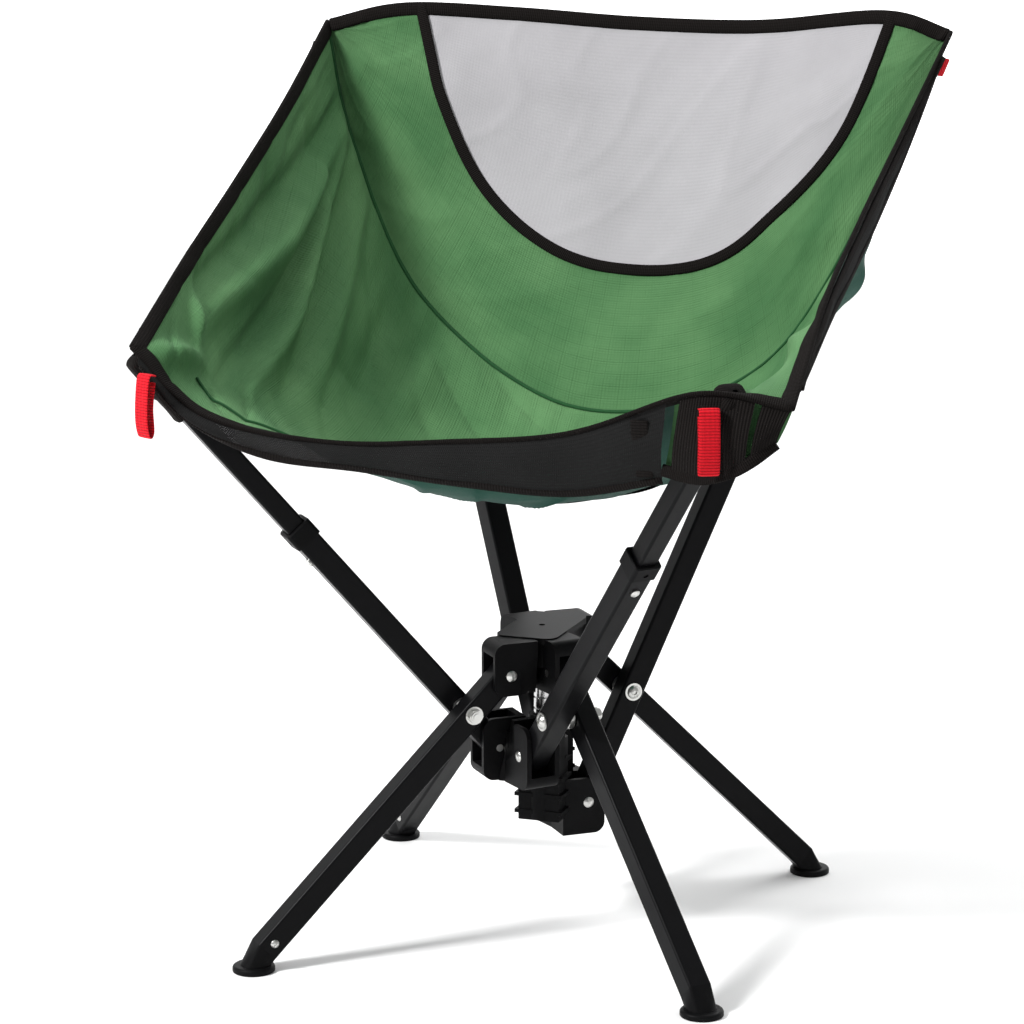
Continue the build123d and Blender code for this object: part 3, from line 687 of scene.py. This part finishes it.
behind = between(hem_line(0.80, 1.0, 60), corner_low, 16, (0, 3, 0)) + BEHIND
drape("corner_backing", grid_mesh("backing", behind), GREEN, cloth="hung")
upright = np.tile([0, 0.2, 1.0], (len(corner_low), 1))
corner_hem = tape_mesh("corner_hem", corner_low, upright, 0.009, 0.003)
drape("corner_hem", corner_hem, BINDING)

# --- mesh bands under the rims ---------------------------------------------------------------
BAND_TOP, BAND_LOW = (1.5, -5), (3, -24)    # band's edges beside and below the rim, in mm
for side, label, column in ((-1, "left", 0), (1, "right", -1)):
    rim = soften(body_grid[4:-4, column])
    swell = np.sin(np.linspace(0, math.pi, len(rim)))[:, None] ** 0.6
    band_top = rim + np.array([side * BAND_TOP[0], 0, BAND_TOP[1]]) * MM * swell
    band_low = rim + np.array([side * BAND_LOW[0], 0, BAND_LOW[1]]) * MM * swell
    band = between(band_top, band_low, 8, (side * 1.5, 0, 0), 1.0)[:, 2:-2]
    nodes = ["side_bands"] if side > 0 else ()
    drape("band_" + label, grid_mesh("band", band), MESH, nodes, "hung")
    for place, row in (("top", 0), ("low", -1)):
        inward = band[len(band) // 2] - band[row]
        edge = tape_mesh("band_edge", band[row], inward, 0.0056, 0.0022, shift=0.002)
        drape("band_%s_%s" % (place, label), edge, BINDING)

# --- corner pockets and pull loops ---------------------------------------------------------------
joints = {joint["child"]: joint for joint in frame["record"]["behaviour"]["joints"]}
TIP_REACH = {"f": 0.424, "b": 0.650}        # arm's lower pin to the inner tube's end
# Pairs of a distance along the arm from its tip and the sleeve's half width there, in mm.
SLEEVE = [
    (-50, 12.0), (-44, 11.6), (-25, 11.4), (-6, 11.3), (4, 11.0), (7, 9.4), (8.6, 6.0), (9.2, 2.0),
]


def arm_axes(corner):
    """Tip of an arm, its direction, its outer side and the direction across it."""
    up = Vector(joints["tip_" + corner]["axis"]).normalized()
    pin = Vector(joints["arm_" + corner]["pos_m"])
    across = up.cross(Vector((0, 0, 1))).normalized()
    return pin + up * TIP_REACH[corner[0]], up, across.cross(up) * -1, across


def ride_piece(name, mesh, material, corner, node):
    """Object that rides an arm's tip and stands for a CAD node."""
    mesh.polygons.foreach_set("use_smooth", [True] * len(mesh.polygons))
    mesh.materials.append(material)
    piece = bpy.data.objects.new(name, mesh)
    bpy.context.scene.collection.objects.link(piece)
    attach(piece, "tip_" + corner)
    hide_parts(node)


def corner_pocket(corner, sides=40):
    """Soft webbing sleeve over an arm's tip, closed at its top."""
    tip, up, outer, across = arm_axes(corner)
    levels = [catmull(SLEEVE, k / 40) for k in range(41)]
    rings = []
    for along, half in levels:
        ring = []
        for k in range(sides + 1):
            c, s = math.cos(2 * math.pi * k / sides), math.sin(2 * math.pi * k / sides)
            size = half / (abs(c) ** 5 + abs(s) ** 5) ** 0.2
            spot = across * (c * size) + outer * (s * size) + up * along
            size_wave = 0.5 * noise.noise(spot * 0.12)
            ring.append(tip + (spot + across * (c * size_wave) + outer * (s * size_wave)) * MM)
        rings.append(ring)
    mesh = grid_mesh("pocket_" + corner, np.array([[point[:] for point in ring] for ring in rings]))
    ride_piece("pocket_" + corner, mesh, BLACK_WEB, corner, "corner_pocket_" + corner)


# Outlines of the loops in mm: distance out and height in front, distance out and across behind.
FRONT_LOOP = [
    (-6, 471), (0, 470), (2.6, 452), (2.9, 436), (0.4, 426), (-2.8, 430), (-2.4, 448), (-5, 466),
]
FRONT_LOOP_X, FRONT_LOOP_Y = {"fl": -219, "fr": 211}, {"fl": -254, "fr": -260}
BACK_LOOP = [(9, -2), (20, -3.5), (33, -4.5), (41, 0), (33, 4.5), (20, 3.5), (9, 2)]
LOOP_TURN = math.radians(27)
LOOP_TAPE = (0.0148, 0.0014)


def pull_loop(corner):
    """Ribbed webbing loop, hanging at a front corner and standing out at a back one."""
    tip, up, outer, across = arm_axes(corner)
    side = 1 if corner[1] == "r" else -1
    if corner[0] == "f":
        wide = Vector((math.cos(LOOP_TURN), side * math.sin(LOOP_TURN), 0))
        out = Vector((side * math.sin(LOOP_TURN), -math.cos(LOOP_TURN), 0))
        foot = Vector((FRONT_LOOP_X[corner], FRONT_LOOP_Y[corner], 0))
        points = [foot + out * a + Vector((0, 0, z)) for a, z in FRONT_LOOP]
    else:
        wide = up
        out = Vector((outer.x, outer.y, 0)).normalized()
        foot = tip / MM + up * -6
        points = [foot + out * a + across * b - Vector((0, 0, 0.2 * a)) for a, b in BACK_LOOP]
    path = route([point[:] for point in points], 60)
    mesh = tape_mesh("loop_" + corner, path, np.tile(wide[:], (len(path), 1)), *LOOP_TAPE, sides=16)
    ride_piece("loop_" + corner, mesh, RED_WEB, corner, "pull_loop_" + corner)


for corner in ("fl", "fr", "br", "bl"):
    corner_pocket(corner)
    pull_loop(corner)

# --- stage, light and camera ------------------------------------------------------------------


def area_light(name, place, aim, size, power):
    """Rectangular lamp at a place, turned to an aim, in metres and watts."""
    data = bpy.data.lights.new(name, "AREA")
    data.shape = "RECTANGLE"
    data.size, data.size_y = size
    data.energy = power
    lamp = bpy.data.objects.new(name, data)
    bpy.context.scene.collection.objects.link(lamp)
    lamp.location = place
    lamp.rotation_euler = (Vector(aim) - Vector(place)).to_track_quat("-Z", "Y").to_euler()


def stage_plane(name, corners, color):
    """Big plane that isn't part of the chair; returns its shader."""
    mesh = bpy.data.meshes.new(name)
    mesh.from_pydata(corners, [], [[0, 1, 2, 3]])
    plane = bpy.data.objects.new(name, mesh)
    bpy.context.scene.collection.objects.link(plane)
    material, _, shader = new_material("pale_" + name, color, 0.9)
    mesh.materials.append(material)
    return shader


PALE = (0.9, 0.9, 0.9)
stage_plane("floor", [(-6, -6, 0), (6, -6, 0), (6, 6, 0), (-6, 6, 0)], PALE)
glow = stage_plane("backdrop", [(-6, 4, -0.1), (6, 4, -0.1), (6, 4, 6), (-6, 4, 6)], PALE)
glow.inputs["Emission Color"].default_value = (1, 1, 1, 1)
glow.inputs["Emission Strength"].default_value = 1.0

world = bpy.data.worlds.new("studio")
world.use_nodes = True
world.node_tree.nodes["Background"].inputs[0].default_value = (1, 1, 1, 1)
world.node_tree.nodes["Background"].inputs[1].default_value = 0.4
bpy.context.scene.world = world
bpy.context.scene.view_settings.view_transform = "Standard"
area_light("key", (-1.6, -1.7, 2.2), (0, 0, 0.4), (0.6, 0.6), 114)
area_light("fill", (2.2, -1.6, 1.5), (0, 0, 0.4), (1.0, 1.6), 2)
area_light("top", (0.2, 0.8, 3.0), (0, 0.3, 0), (2.5, 2.5), 60)

AZIMUTH, ELEVATION, DISTANCE = math.radians(19.2), math.radians(13.5), 2.6
AIM = Vector((0, -0.018, 0.25))
toward_camera = Vector((
    math.sin(AZIMUTH) * math.cos(ELEVATION),
    -math.cos(AZIMUTH) * math.cos(ELEVATION),
    math.sin(ELEVATION),
))
camera_data = bpy.data.cameras.new("camera")
camera_data.sensor_width = 36
camera_data.lens = 116.1
camera_data.shift_x = -0.0221
camera_data.shift_y = 0.1083
camera = bpy.data.objects.new("camera", camera_data)
bpy.context.scene.collection.objects.link(camera)
camera.location = AIM + toward_camera * DISTANCE
camera.rotation_euler = (-toward_camera).to_track_quat("-Z", "Y").to_euler()
bpy.context.scene.camera = camera
